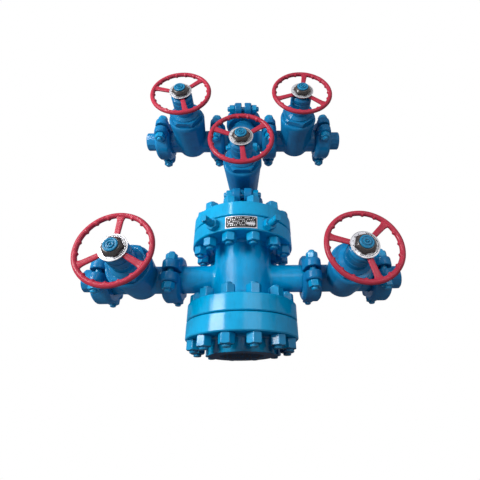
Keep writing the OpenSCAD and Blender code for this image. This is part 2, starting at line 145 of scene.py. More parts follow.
def enamel(name, colour, shade, cast, gloss, shine, worn=0.40, corner=2.0, peel=0.06):
    """Sprayed alkyd enamel on steel: a saturated film with orange peel over the metal's own skin.

    cast is how far the metal underneath is from machined, in millimetres of relief. The film is thinner
    and lighter along edges, by a share worn and within about corner millimetres, as wear and as a painted
    highlight, and painted shade darkens the corners that ambient occlusion finds. peel is the orange peel's
    depth in millimetres.
    """
    material, tree, place = blank_material(name)
    # Clouds of thick and thin film, a hand across
    clouds = add(tree, "TexNoise", {"Vector": place, "Scale": 1 / (110 * MM), "Detail": 4, "Roughness": 0.6})
    thick = add(tree, "MapRange", {"Value": clouds, "From Min": 0.36, "From Max": 0.64})
    film = laid_over(tree, shade, colour, thick)
    # Runs of the spray gun, a finger across and stretched down the piece
    drawn = add(tree, "Mapping", {"Vector": place, "Scale": (1.0, 1.0, 0.28)})
    streaks = add(tree, "TexNoise", {"Vector": drawn, "Scale": 1 / (13 * MM), "Detail": 3, "Roughness": 0.6})
    runs = add(tree, "MapRange", {"Value": streaks, "From Min": 0.52, "From Max": 0.74})
    film = laid_over(tree, film, mixed(colour, DARK_RUNS_AND_SHADE, 0.45), runs, 0.22)
    # The rounded normal leans away from the flat one only along edges, where chips of 9 mm show thin film. The
    # pale lift there is also a painted highlight along the edges
    rounded = add(tree, "Bevel", {"samples": 6, "Radius": corner * MM})
    flat = add(tree, "NewGeometry").outputs["Normal"]
    lean = add(tree, "VectorMath", {"operation": "DOT_PRODUCT", 0: rounded, 1: flat}).outputs["Value"]
    edge = add(tree, "MapRange", {"Value": lean, "From Min": 0.995, "From Max": 0.90})
    chips = add(tree, "TexNoise", {"Vector": place, "Scale": 1 / (9 * MM), "Detail": 5, "Roughness": 0.65})
    scuffs_and_glints = add(tree, "MapRange", {"Value": chips, "From Min": 0.48, "From Max": 0.72})
    film = laid_over(tree, film, mixed(colour, THIN_FILM_AND_HIGHLIGHT, 0.55), edge, scuffs_and_glints, worn)
    # Painted shade: the corners that ambient occlusion finds are darkened towards a dark navy, for the shade that
    # falls there
    hollow = add(tree, "AmbientOcclusion", {"samples": 6, "Distance": 45 * MM}).outputs["AO"]
    painted_shade = add(tree, "MapRange", {"Value": hollow, "From Min": 0.80, "From Max": 0.25})
    film = laid_over(tree, film, mixed(colour, DARK_RUNS_AND_SHADE, 0.80), painted_shade, 0.28)
    # Orange peel, drawn as coarse as it needs to show, and the wider waves of the metal's skin
    dimples = add(tree, "TexNoise", {"Vector": place, "Scale": 1 / (3 * MM), "Detail": 2, "Roughness": 0.5})
    skin = add(tree, "TexNoise", {"Vector": place, "Scale": 1 / (16 * MM), "Detail": 3, "Roughness": 0.55})
    bump = add(tree, "Bump", {"Strength": 0.35, "Distance": peel * MM, "Height": dimples, "Normal": rounded})
    bump = add(tree, "Bump", {"Strength": 0.5, "Distance": cast * MM, "Height": skin, "Normal": bump})
    haze = add(tree, "TexNoise", {"Vector": place, "Scale": 1 / (35 * MM), "Detail": 4, "Roughness": 0.6})
    rough = add(tree, "MapRange", {"Value": haze, "From Min": 0.3, "From Max": 0.7,
                                   "To Min": gloss + 0.10, "To Max": gloss + 0.25})
    # A thin top coat carries the gloss, and its low weight holds back the haze at grazing angles
    paint = add(tree, "BsdfPrincipled", {
        "Base Color": film, "Roughness": rough, "Specular IOR Level": 0.0, "Normal": bump,
        "Coat Weight": shine, "Coat IOR": 3.0, "Coat Roughness": gloss, "Coat Normal": bump,
    })
    add(tree, "OutputMaterial", {"Surface": paint})
    return material


FLANGE_ENAMEL = enamel("blue_enamel_on_machined_steel", "#00AADD", "#009CCD", 0.05, 0.16, 0.085)
CAST_ENAMEL = enamel("blue_enamel_on_cast_steel", "#1886BC", "#1576AA", 0.20, 0.12, 0.060, 0.60, 2.5)
SPOOL_ENAMEL = enamel("blue_enamel_on_cast_spool", "#00A4DC", "#0094C8", 0.45, 0.20, 0.080)
BOLT_ENAMEL = enamel("blue_enamel_on_bolting", "#069BCE", "#068FC0", 0.05, 0.16, 0.105)
WHEEL_ENAMEL = enamel("red_enamel_on_cast_iron", "#BA3649", "#AC2C40", 0.05, 0.24, 0.065, 0.10, 0.5, 0.02)
CAP_ENAMEL = enamel("light_blue_enamel_on_steel", "#1C82AC", "#1878A0", 0.03, 0.22, 0.075, 0.15, 0.5, 0.02)


def shell(rings, closed=False):
    """Skins a stack of rings (rows x columns x 3) with quads between neighbours.

    Its ends are flat faces, or its last ring joins its first one where it is closed. The faces are turned
    outwards where the volume that they enclose comes out negative.
    """
    rows, cols = rings.shape[:2]
    index = np.arange(rows * cols).reshape(rows, cols)
    here = index if closed else index[:-1]
    there = np.roll(index, -1, 0) if closed else index[1:]
    quads = np.stack([here, np.roll(here, -1, 1), np.roll(there, -1, 1), there], -1).reshape(-1, 4)
    ends = [] if closed else [index[0, ::-1], index[-1]]
    points = rings.reshape(-1, 3)
    fans = [np.stack([np.full(cols - 2, e[0]), e[1:-1], e[2:]], -1) for e in ends]
    triangles = np.concatenate([quads[:, [0, 1, 2]], quads[:, [0, 2, 3]], *fans])
    corner = points[triangles] - points.mean(0)
    inside_out = np.einsum("ij,ij->i", corner[:, 0], np.cross(corner[:, 1], corner[:, 2])).sum() < 0
    step = -1 if inside_out else 1
    return points, [f[::step] for f in quads.tolist() + [e.tolist() for e in ends]]


def moved(x, y, z):
    """The matrix that moves points by a vector."""
    return Matrix.Translation((x, y, z))


def turned(angle, axis):
    """The matrix that turns points by an angle about an axis."""
    return Matrix.Rotation(angle, 4, axis)


def placed(part, matrix):
    """The part with every point moved by a 4 x 4 matrix."""
    points, faces = part
    m = np.array(matrix)
    return points @ m[:3, :3].T + m[:3, 3], faces


def piece(name, parts, body, material, sharp_above=34):
    """One object in the frame's axes from several closed parts, riding on a body.

    Edges that turn by more than sharp_above degrees stay sharp.
    """
    starts = np.cumsum([0] + [len(points) for points, _ in parts[:-1]]).tolist()
    points = np.concatenate([points for points, _ in parts])
    faces = [[i + start for i in face] for (_, own), start in zip(parts, starts) for face in own]
    mesh = bpy.data.meshes.new(name)
    mesh.from_pydata(points.tolist(), [], faces)
    mesh.shade_smooth()
    mesh.set_sharp_from_angle(angle=math.radians(sharp_above))
    mesh.materials.append(material)
    obj = bpy.data.objects.new(name, mesh)
    bpy.context.scene.collection.objects.link(obj)
    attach(obj, body)
    return obj


def revolved(profile, columns=64, closed=False):
    """A profile of (radius, height) points, turned about Z. A closed one is a loop with a hole along Z."""
    profile = np.array(profile)
    angle = np.linspace(0, TURN, columns, endpoint=False)
    ring = np.stack([np.cos(angle), np.sin(angle)], -1)
    flat = profile[:, None, :1] * ring[None]
    height = np.broadcast_to(profile[:, None, 1:], flat.shape[:2] + (1,))
    return shell(np.concatenate([flat, height], -1), closed)


def rounded_profile(corners, radius, steps=4):
    """A profile whose inner corners are rounded by quadratic curves that start a radius away."""
    corners = np.array(corners, float)
    out = [corners[0]]
    for before, here, after in zip(corners[:-2], corners[1:-1], corners[2:]):
        reach_in = min(radius, 0.5 * np.linalg.norm(before - here))
        reach_out = min(radius, 0.5 * np.linalg.norm(after - here))
        start = here + (before - here) / np.linalg.norm(before - here) * reach_in
        end = here + (after - here) / np.linalg.norm(after - here) * reach_out
        for t in np.linspace(0, 1, steps):
            out.append((1 - t) ** 2 * start + 2 * t * (1 - t) * here + t ** 2 * end)
    out.append(corners[-1])
    return np.array(out)


STUD_CIRCLE = 0.197
STUD_COUNT = 12
CLAMP_BOLT_REACH = 0.110
CLAMP_GRIP = 98 * MM
FLANGE_STUD = {
    "diameter": 35 * MM, "nose": 4 * MM, "past_nut": 11 * MM, "across": 55 * MM, "nut_height": 40 * MM,
}
CLAMP_STUD = {
    "diameter": 30 * MM, "nose": 9 * MM, "past_nut": 13 * MM, "across": 46 * MM, "nut_height": 29 * MM,
}
THREAD_PITCH = 3.175 * MM
THREAD_DEPTH = 1.3 * MM

# Angles of a hexagon's outline, close together at its six corners
SECTOR = np.radians([-30, -28.6, -26, -15, 0, 15, 26, 28.6])
HEX_ANGLES = (np.arange(6)[:, None] * TURN / 6 + SECTOR).ravel()

# Where the lower flange's nuts in front face, in degrees, by their places round the circle
LOWER_NUTS = {6: 236, 7: 248, 8: 262, 9: 235, 10: 247, 11: 232}


def hexagon_radius(across, softness):
    """The radius of a hexagon at HEX_ANGLES: half its width over the cosine from the nearest flat.

    Its width is taken across flats, and its corners are held back by softness times their reach.
    """
    plain = across / 2 / np.cos(np.tile(SECTOR, 6))
    return np.minimum(plain, across / 2 / math.cos(TURN / 12) * (1 - softness))


def hex_nut(across, height, bore):
    """A six-sided nut from z = 0 up. A 30 degree cone cuts both ends, which leaves arcs on its flats."""
    corner = hexagon_radius(across, 0.012)
    washer = across / 2 * 0.95
    drop = (corner - washer) * math.tan(TURN / 12)
    lip = 0.35 * MM
    chamfer = 1.5 * MM
    same = np.ones_like(corner)
    rows = [
        (bore / 2 * same, 0 * same), (washer * same, 0 * same), (corner, drop), (corner, drop + lip),
        (corner, height - drop - lip), (corner, height - drop), (washer * same, height * same),
        ((bore / 2 + chamfer) * same, height * same), (bore / 2 * same, (height - chamfer) * same),
    ]
    rings = [np.stack([r * np.cos(HEX_ANGLES), r * np.sin(HEX_ANGLES), z], -1) for r, z in rows]
    return shell(np.array(rings))


def stud(diameter, length, nose, thread, columns=24):
    """A stud from z = 0 up with a helical thread at both ends and domed noses.

    The radius falls by the thread's depth as a triangle wave of height over pitch less angle over a turn,
    and the thread fades out where the nose gets thinner than its root.
    """
    radius = diameter / 2
    tip = 0.55 * radius
    root = 0.80 * radius
    t = np.linspace(0.2, 1, 5)
    dome = tip + (radius - tip) * np.sqrt(1 - (1 - t) ** 2)
    run = np.arange(nose, thread, THREAD_PITCH / 5)
    lower_r = np.concatenate([[tip], dome, np.full(len(run), radius)])
    lower_z = np.concatenate([[0.0], nose * t, run])
    height = np.concatenate([lower_z, (length - lower_z)[::-1]])
    outline = np.concatenate([lower_r, lower_r[::-1]])
    angle = np.linspace(0, TURN, columns, endpoint=False)
    phase = (height[:, None] / THREAD_PITCH - angle / TURN) % 1
    groove = THREAD_DEPTH * np.abs(2 * phase - 1)
    fade = np.clip((outline - root) / (radius - root), 0, 1)[:, None]
    r = outline[:, None] - groove * fade
    z = np.broadcast_to(height[:, None], r.shape)
    return shell(np.stack([r * np.cos(angle), r * np.sin(angle), z], -1))


def bolted_joint(grip, rng, low_turn, diameter, nose, past_nut, across, nut_height):
    """A stud with a nut at each end, along Z, clamping a grip centred on z = 0.

    low_turn is the direction in degrees that one flat of the lower nut faces, or None where chance turns it.
    """
    length = grip + 2 * (nut_height + past_nut)
    threaded = nut_height * 0.3 + past_nut
    parts = [placed(stud(diameter, length, nose, threaded), moved(0, 0, -length / 2))]
    nut = hex_nut(across, nut_height, diameter - 2 * MM)
    for flip in (0, math.pi):
        turn = rng.uniform(0, TURN)
        if flip and low_turn is not None:
            turn = -math.radians(low_turn)
        parts.append(placed(nut, turned(flip, "X") @ moved(0, 0, grip / 2) @ turned(turn, "Z")))
    return parts


def flange_bolting(name, pair, rng, low_turns):
    """Twelve studs through a flange pair, straddling its front centre line."""
    foot, top = pair
    parts = []
    for i in range(STUD_COUNT):
        angle = (i + 0.5) * TURN / STUD_COUNT
        place = moved(STUD_CIRCLE * math.cos(angle), STUD_CIRCLE * math.sin(angle), (foot + top) / 2)
        joint = bolted_joint(top - foot, rng, low_turns.get(i), **FLANGE_STUD)
        parts += [placed(part, place) for part in joint]
    return piece(name, parts, "root", BOLT_ENAMEL)


def clamp_bolting(name, spots, direction, rng):
    """The two bolts of each clamp, in front of its pipe and behind it, turned from upright by a matrix."""
    parts = []
    for x, z in spots:
        for side in (-1, 1):
            joint = bolted_joint(CLAMP_GRIP, rng, None, **CLAMP_STUD)
            parts += [placed(part, moved(x, side * CLAMP_BOLT_REACH, z) @ direction) for part in joint]
    return piece(name, parts, "root", BOLT_ENAMEL)


def both_sides(reaches, height):
    """Places at several distances to the left and the right of the well's axis."""
    return [(side * reach, height) for reach in reaches for side in (-1, 1)]


rng = np.random.default_rng(7)
UPRIGHT, LEVEL = Matrix.Identity(4), turned(QUARTER, "Y")
flange_bolting("lower_flange_bolting", LOWER_PAIR, rng, LOWER_NUTS)
flange_bolting("upper_flange_bolting", UPPER_PAIR, rng, {})
clamp_bolting("upright_clamp_bolting", [(0, z) for z in UPRIGHT_CLAMPS.values()], LEVEL, rng)
clamp_bolting("wing_clamp_bolting", both_sides(WING_CLAMPS, CROSS_HEIGHT), UPRIGHT, rng)
clamp_bolting("annulus_clamp_bolting", both_sides(ANNULUS_CLAMPS, OUTLET_HEIGHT), UPRIGHT, rng)


RIM_CENTRE = 139.5 * MM
RIM_TUBE = 10.5 * MM
WHEEL_SPOKES = 3
WHEEL_BUMPS = 5
BUMP_HEIGHT = 5.0 * MM
BUMP_REACH = 5.5 * MM
CAST_WAVE = 0.25 * MM
WHEEL_HUB = 37 * MM
HUB_FLARE = (52 * MM, 18 * MM)
RIM_FLARE = (112 * MM, 26 * MM)
SPOKE_FOOT = 26 * MM
SPINDLE_RADIUS = 20 * MM
SPINDLE_END = -52.8 * MM


def wheel_rim(columns=20, rows=432):
    """A torus in the wheel's plane whose inner side swells into finger bumps.

    The tube's radius grows by a Gaussian of the arc from the nearest bump, weighted to the side that faces
    the hub, and wavers a little with both angles, as a casting does.
    """
    u = np.linspace(0, TURN, rows, endpoint=False)[:, None]
    v = np.linspace(0, TURN, columns, endpoint=False)[None]
    pitch = TURN / WHEEL_SPOKES / (WHEEL_BUMPS + 1)
    near = np.round(u / pitch)
    arc = (u - near * pitch) * RIM_CENTRE
    at_spoke = np.mod(near, WHEEL_BUMPS + 1) == 0
    swell = np.where(at_spoke, 0, BUMP_HEIGHT * np.exp(-(arc / BUMP_REACH) ** 2))
    waver = CAST_WAVE * np.sin(7 * u + 1.0) * np.cos(v + 3 * u)
    inward = np.clip(-np.cos(v), 0, 1) ** 1.6
    tube = RIM_TUBE + waver + swell * inward
    radial = RIM_CENTRE + tube * np.cos(v)
    level = tube * np.sin(v) * 0.98
    return shell(np.stack([radial * np.cos(u), radial * np.sin(u), level], -1), closed=True)


def wheel_spoke(columns=28, rows=34):
    """An oval bar from the hub to the rim along X.

    Its section is a superellipse. It widens evenly outwards, and its width and thickness flare with the
    square of the way into the rim and into the hub.
    """
    s = np.linspace(SPOKE_FOOT, RIM_CENTRE - 1 * MM, rows)[:, None]
    a = np.linspace(0, TURN, columns, endpoint=False)[None]
    at_rim = np.clip((s - RIM_FLARE[0]) / RIM_FLARE[1], 0, 1) ** 2
    at_hub = np.clip((HUB_FLARE[0] - s) / HUB_FLARE[1], 0, 1) ** 2
    outward = (s - WHEEL_HUB) / (95 * MM)
    half_width = (10.2 + 3.0 * outward + 10 * at_rim + 4 * at_hub) * MM
    half_thick = (5.6 + 1.8 * at_rim + 2.0 * at_hub) * MM
    c, d = np.cos(a), np.sin(a)
    squareness = 0.62
    y = half_width * np.sign(c) * np.abs(c) ** squareness
    z = half_thick * np.sign(d) * np.abs(d) ** squareness
    return shell(np.stack([np.broadcast_to(s, y.shape), y, z], -1))


def wheel_hub():
    """The hub's disc and the spindle behind it: their outline, turned about Z, with rounded edges."""
    corners = [
        (1 * MM, SPINDLE_END), (SPINDLE_RADIUS, SPINDLE_END), (SPINDLE_RADIUS, -RIM_TUBE),
        (WHEEL_HUB, -RIM_TUBE), (WHEEL_HUB, RIM_TUBE), (1 * MM, RIM_TUBE),
    ]
    return revolved(rounded_profile(corners, 3 * MM))


def wheel_matrix(valve, out=0.0):
    """From a wheel's own axes, with +Z away from the valve, to the frame's, some way out along the stem."""
    stem = moved(*WHEEL_PLACE[valve]) @ turned(QUARTER, "X")
    return stem @ turned(math.radians(WHEEL_TURN[valve]), "Z") @ moved(0, 0, out)


def plate_metal(name, print_on=None):
    """Rolled aluminium plate: satin, faintly brushed, with black fired ink where a print is given."""
    material, tree, place = blank_material(name)
    # Level brush marks, 4 mm long and a fourteenth of that high, coarser than real ones so that they show
    drawn = add(tree, "Mapping", {"Vector": place, "Scale": (1.0, 1.0, 14.0)})
    brush = add(tree, "TexNoise", {"Vector": drawn, "Scale": 1 / (4 * MM), "Detail": 3, "Roughness": 0.6})
    smudge = add(tree, "TexNoise", {"Vector": place, "Scale": 1 / (20 * MM), "Detail": 4, "Roughness": 0.6})
    dull = add(tree, "MapRange", {"Value": smudge, "From Min": 0.35, "From Max": 0.7})
    colour = laid_over(tree, "#CFCED2", "#B4B4B9", dull)
    metallic = 0.85
    if print_on:
        ink = print_on(tree)
        colour = laid_over(tree, colour, "#141212", ink)
        metallic = without(tree, 0.6, ink)
    bump = add(tree, "Bump", {"Strength": 0.3, "Distance": 0.05 * MM, "Height": brush})
    rough = add(tree, "MapRange", {"Value": smudge, "From Min": 0.3, "From Max": 0.7,
                                   "To Min": 0.28, "To Max": 0.42})
    plate = add(tree, "BsdfPrincipled", {
        "Base Color": colour, "Metallic": metallic, "Roughness": rough, "Specular IOR Level": 0.3,
        "Normal": bump,
    })
    add(tree, "OutputMaterial", {"Surface": plate})
    return material


def within(tree, value, low, high):
    """1 where the value lies between two limits, else 0."""
    above = add(tree, "Math", {"operation": "GREATER_THAN", 0: value, 1: low})
    return product(tree, above, add(tree, "Math", {"operation": "LESS_THAN", 0: value, 1: high}))


def beat(tree, value, count, low, high, shift=0.0):
    """1 on a share, from low to high, of each of the equal steps into which a value from 0 to 1 is cut."""
    steps = add(tree, "Math", {"operation": "ADD", 0: product(tree, value, count), 1: shift})
    return within(tree, add(tree, "Math", {"operation": "FRACT", 0: steps}), low, high)


def two_coordinates(tree, layer):
    """U and V of one of a piece's UV maps."""
    split = add(tree, "SeparateXYZ", {0: add(tree, "UVMap", {"uv_map": layer})})
    return split.outputs[0], split.outputs[1]


def dial_ink(tree):
    """The dial's print: a black arc that bare strokes cross, a few black marks after it, and a thin ring.

    U is the angle as a share of a turn and V the radius as a share of the dial's.
    """
    angle, radius = two_coordinates(tree, "polar")
    strokes = product(tree, beat(tree, angle, 46, 0.14, 0.62), within(tree, radius, 0.775, 0.865))
    # Short bars join neighbouring strokes here and there, so that the arc reads as print without letters
    bars = product(tree, beat(tree, angle, 19, 0.2, 0.6), within(tree, radius, 0.81, 0.83))
    arc = product(tree, within(tree, radius, 0.735, 0.90), within(tree, angle, 0.04, 0.60))
    marks = product(tree, beat(tree, angle, 15, 0.30, 0.58), within(tree, angle, 0.64, 0.99),
                    within(tree, radius, 0.79, 0.85))
    ring = within(tree, radius, 0.955, 0.97)
    return largest(tree, without(tree, arc, largest(tree, strokes, bars)), marks, ring)


def plate_ink(tree):
    """The name plate's print: a black field with a bare box and rows of bare strokes of uneven width.

    U runs along the plate and V up it. Each row's strokes are shifted against those of the row below.
    """
    along, up = two_coordinates(tree, "face")
    row_count = 6.5
    row = add(tree, "Math", {"operation": "FLOOR", 0: product(tree, up, row_count)})
    shift = product(tree, row, 0.37)
    in_row = beat(tree, up, row_count, 0.24, 0.76)
    # The second, slower beat leaves gaps between groups of strokes, as between words
    strokes = product(tree, beat(tree, along, 17, 0.18, 0.66, shift), in_row,
                      beat(tree, along, 3.7, 0.0, 0.74, shift))
    field = product(tree, within(tree, along, 0.018, 0.982), within(tree, up, 0.045, 0.955))
    inner = product(tree, within(tree, along, 0.06, 0.94), within(tree, up, 0.12, 0.89))
    box = product(tree, within(tree, along, 0.66, 0.93), within(tree, up, 0.28, 0.47))
    return without(tree, field, largest(tree, product(tree, strokes, inner), box))


DIAL_METAL = plate_metal("etched_dial_plate", dial_ink)
NAME_METAL = plate_metal("etched_name_plate", plate_ink)
BARE_METAL = plate_metal("satin_aluminium")


def moulded_black(name):
    """Glass-filled nylon, moulded: near-black and glossy, with fine flow lines and greyer rubbed patches."""
    material, tree, place = blank_material(name)
    blotch = add(tree, "TexNoise", {"Vector": place, "Scale": 1 / (12 * MM), "Detail": 4, "Roughness": 0.6})
    rubbed = add(tree, "MapRange", {"Value": blotch, "From Min": 0.35, "From Max": 0.7})
    # The mould's grain, drawn as coarse as it needs to show
    grain = add(tree, "TexNoise", {"Vector": place, "Scale": 1 / (0.8 * MM), "Detail": 2, "Roughness": 0.5})
    bump = add(tree, "Bump", {"Strength": 0.3, "Distance": 0.06 * MM, "Height": grain})
    rough = add(tree, "MapRange", {"Value": blotch, "From Min": 0.3, "From Max": 0.7,
                                   "To Min": 0.16, "To Max": 0.30})
    colour = laid_over(tree, "#1B1716", "#332B28", rubbed)
    nylon = add(tree, "BsdfPrincipled", {
        "Base Color": colour, "Roughness": rough, "IOR": 1.53, "Normal": bump,
    })
    add(tree, "OutputMaterial", {"Surface": nylon})
    return material


NUT_BLACK = moulded_black("black_glass_filled_nylon")


def add_uv(obj, name, function):
    """A UV map whose value at each corner is a function of the corner's point."""
    mesh = obj.data
    points = np.empty(len(mesh.vertices) * 3)
    mesh.vertices.foreach_get("co", points)
    corner = np.empty(len(mesh.loops), int)
    mesh.loops.foreach_get("vertex_index", corner)
    layer = mesh.uv_layers.new(name=name)
    layer.data.foreach_set("uv", function(points.reshape(-1, 3)[corner]).ravel())


DIAL_RADIUS = 55 * MM
DIAL_MIDDLE = 20 * MM
DIAL_THICK = 2 * MM
NUT_ACROSS = 76 * MM
NUT_CONE_FOOT = 47 * MM
NUT_CONE_TOP = 31 * MM
NUT_HEIGHT = 20 * MM
NUT_CROWN = 1.2 * MM
CAP_RADIUS = 27 * MM
CAP_HEIGHT = 10 * MM

# The cap's outline as shares of its radius and height: a rim, a ring inside it and a nub at its centre
CAP_OUTLINE = (
    (0.90, 0), (1.0, 0), (1.0, 0.48), (0.90, 0.68), (0.72, 0.68), (0.70, 0.45), (0.54, 0.45), (0.52, 0.9),
    (0.32, 0.9), (0.30, 0.5), (0.18, 0.5), (0.13, 1.0), (0.01, 1.0),
)


def dial_plate():
    """A thin disc with a rounded rim: its outline turned about Z. Its middle, under the nut, is whole."""
    corners = [(DIAL_MIDDLE, 0), (DIAL_RADIUS, 0), (DIAL_RADIUS, DIAL_THICK), (DIAL_MIDDLE, DIAL_THICK)]
    return revolved(rounded_profile(corners, 0.8 * MM), 128)


def hub_nut(rows=16):
    """The wheel's nut from z = 0 up: a hexagon at its foot that a cone takes over towards its top.

    The radius is a soft minimum of the hexagon's and the cone's, and the crown's four last rings, given as
    shares of the top's radius and of the crown's height, round the top edge.
    """
    hexagon = hexagon_radius(NUT_ACROSS, 0.02)[None]
    t = np.linspace(0, 1, rows)[:, None]
    cone = NUT_CONE_FOOT + (NUT_CONE_TOP - NUT_CONE_FOOT) * t ** 1.15
    softness = 1.6 * MM
    radius = -softness * np.log(np.exp(-hexagon / softness) + np.exp(-cone / softness))
    height = np.broadcast_to(t * NUT_HEIGHT, radius.shape) * 0.985
    crown = np.array([(0.985, 0.35), (0.955, 0.8), (0.90, 1.0), (0.60, 1.0)])
    crown_radius = radius[-1] * crown[:, :1]
    crown_height = np.broadcast_to(NUT_HEIGHT - NUT_CROWN * (1 - crown[:, 1:]), crown_radius.shape)
    radius = np.concatenate([radius[:-1], crown_radius])
    height = np.concatenate([height[:-1], crown_height])
    return shell(np.stack([radius * np.cos(HEX_ANGLES), radius * np.sin(HEX_ANGLES), height], -1))


def stem_cap():
    """The cap over the stem: its outline with softened corners, turned about Z."""
    corners = np.array(CAP_OUTLINE) * (CAP_RADIUS, CAP_HEIGHT)
    return revolved(rounded_profile(corners, 0.9 * MM, 3))


def polar_uv(valve):
    """U as the share of a turn and V as the share of the dial's radius, in the wheel's own axes."""
    back = np.array(wheel_matrix(valve).inverted())

    def uv(points):
        x, y, _ = (points @ back[:3, :3].T + back[:3, 3]).T
        return np.stack([np.arctan2(y, x) / TURN + 0.5, np.hypot(x, y) / DIAL_RADIUS], -1)
    return uv


def wheel_piece(valve, ending, parts, out, material, node_ending):
    """One piece of a valve's wheel, some way out along the stem, that stands for its own node."""
    matrix = wheel_matrix(valve, out)
    made = piece(valve + ending, [placed(part, matrix) for part in parts], valve + "_wheel", material)
    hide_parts(valve + node_ending)
    return made


def handwheel_set(valve):
    """A valve's wheel with its dial, nut and cap, stacked outwards."""
    spokes = [placed(wheel_spoke(), turned(i * TURN / WHEEL_SPOKES, "Z")) for i in range(WHEEL_SPOKES)]
    wheel_parts = [wheel_rim(), wheel_hub(), *spokes]
    wheel_piece(valve, "_cast_wheel", wheel_parts, 0.0, WHEEL_ENAMEL, "_handwheel")
    out = RIM_TUBE
    dial = wheel_piece(valve, "_dial_plate", [dial_plate()], out, DIAL_METAL, "_dial")
    add_uv(dial, "polar", polar_uv(valve))
    out += DIAL_THICK
    wheel_piece(valve, "_black_nut", [hub_nut()], out, NUT_BLACK, "_hub_nut")
    out += NUT_HEIGHT
    wheel_piece(valve, "_cap", [stem_cap()], out, CAP_ENAMEL, "_stem_cap")


for valve_name in WHEEL_TURN:
    handwheel_set(valve_name)


PLATE_WIDTH = 137 * MM
PLATE_TALL = 57 * MM
PLATE_THICK = 1.5 * MM
SCREW_INSET = 4.5 * MM

# A domed screw head's radii and heights in millimetres, from under the plate's face up
SCREW_OUTLINE = ((2.6, -0.5), (2.6, 0.3), (2.2, 1.0), (1.3, 1.5), (0.1, 1.7))


def name_plate():
    """The plate bent round the flange's rim: its rectangular section, swept over its arc."""
    half = PLATE_WIDTH / 2 / FLANGE_RADIUS
    angle = np.linspace(-half, half, 33)[:, None]
    section = np.array([(0, 0), (0, 1), (1, 1), (1, 0)])
    r = FLANGE_RADIUS + section[:, 0] * PLATE_THICK
    z = PLATE_HEIGHT + (section[:, 1] - 0.5) * PLATE_TALL
    x, y = r * np.sin(angle), -r * np.cos(angle)
    return shell(np.stack([x, y, np.broadcast_to(z, x.shape)], -1))


def face_uv(points):
    """U along the plate's arc and V up it, each from 0 to 1."""
    arc = np.arctan2(points[:, 0], -points[:, 1]) * FLANGE_RADIUS
    return np.stack([arc / PLATE_WIDTH + 0.5, (points[:, 2] - PLATE_HEIGHT) / PLATE_TALL + 0.5], -1)


def drive_screws():
    """Four domed drive screws at the plate's corners."""
    head = revolved(np.array(SCREW_OUTLINE) * MM, 20)
    radius = FLANGE_RADIUS + PLATE_THICK
    parts = []
    for side in (-1, 1):
        for level in (-1, 1):
            angle = side * (PLATE_WIDTH / 2 - SCREW_INSET) / FLANGE_RADIUS
            height = PLATE_HEIGHT + level * (PLATE_TALL / 2 - SCREW_INSET)
            spot = moved(radius * math.sin(angle), -radius * math.cos(angle), height)
            parts.append(placed(head, spot @ turned(angle, "Z") @ turned(QUARTER, "X")))
    return parts


plate = piece("etched_plate", [name_plate()], "root", NAME_METAL)
add_uv(plate, "face", face_uv)
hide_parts("name_plate")
piece("plate_drive_screws", drive_screws(), "root", BARE_METAL)


BARREL_RADIUS = 94.5 * MM
BARREL_BACK_RADIUS = 79 * MM
BARREL_ROUND = 34 * MM
BARREL_BACK = 66 * MM
BARREL_TAPER_START = -178 * MM
SPOOL_RADIUS = 131 * MM
CROSS_RADIUS = 103 * MM

# How far each fillet reaches, and how deep its ends are sunk and its back is buried
SPOOL_FILLET = 16 * MM
CROSS_FILLET = 12 * MM
BARREL_FILLET = 9 * MM
FILLET_SUNK = 0.15 * MM
FILLET_BURIED = 5 * MM


def barrel_height(y, z):
    """The barrel lies along Y and tapers towards its rounded back end: its radius at y gives x at each z."""
    turn_in = BARREL_BACK - BARREL_ROUND
    along = np.clip((y - BARREL_TAPER_START) / (turn_in - BARREL_TAPER_START), 0, 1)
    past = np.clip(y - turn_in, 0, BARREL_ROUND * 0.995)
    drop = BARREL_ROUND - np.sqrt(BARREL_ROUND ** 2 - past ** 2)
    radius = BARREL_RADIUS + (BARREL_BACK_RADIUS - BARREL_RADIUS) * along - drop
    return np.sqrt(np.maximum(radius ** 2 - z ** 2, 0))


def spool_height(y, z):
    """The spool stands along Z, so x follows y round its circle at any z."""
    return np.sqrt(SPOOL_RADIUS ** 2 - y ** 2 + 0 * z)


def cross_height(y, z):
    """The cross's body is a ball."""
    return np.sqrt(CROSS_RADIUS ** 2 - y ** 2 - z ** 2)


def saddle_fillet(height, spread, rows=96, curve=9):
    """The rounded corner where a neck along X leaves a body whose surface stands at x = height(y, z).

    At each angle a quadratic curve runs from the neck, a spread out from the corner, to the body, a spread
    away from the neck, and is pulled to the corner between them.
    """
    angle = np.linspace(0, TURN, rows, endpoint=False)[:, None]
    c, s = np.cos(angle), np.sin(angle)
    t = np.linspace(0, 1, curve)[None]
    at_neck, at_corner, at_body = (1 - t) ** 2, 2 * t * (1 - t), t ** 2
    reach = RUN_NECK_RADIUS + spread
    corner_x = height(RUN_NECK_RADIUS * c, RUN_NECK_RADIUS * s)
    body_x = height(reach * c, reach * s) - FILLET_SUNK
    x = (corner_x + spread) * at_neck + corner_x * at_corner + body_x * at_body
    radius = (RUN_NECK_RADIUS - FILLET_SUNK) * (at_neck + at_corner) + reach * at_body
    back = np.full((rows, 1), RUN_NECK_RADIUS - FILLET_BURIED)
    radius = np.concatenate([np.broadcast_to(radius, x.shape), back], 1)
    x = np.concatenate([x, corner_x - FILLET_BURIED], 1)
    return shell(np.stack([x, radius * c, radius * s], -1), closed=True)


def fillets(name, part, centre, turns, material):
    """A saddle fillet round each of the necks that leave one body in several directions."""
    parts = [placed(part, moved(*centre) @ turn) for turn in turns]
    return piece(name, parts, "root", material, sharp_above=60)


SIDEWAYS = [turned(angle, "Z") for angle in (0, math.pi)]
LEFT_AND_RIGHT = [turned(angle, "Y") for angle in (0, math.pi)]
UP_AND_DOWN = [turned(angle, "Y") for angle in (-QUARTER, QUARTER)]

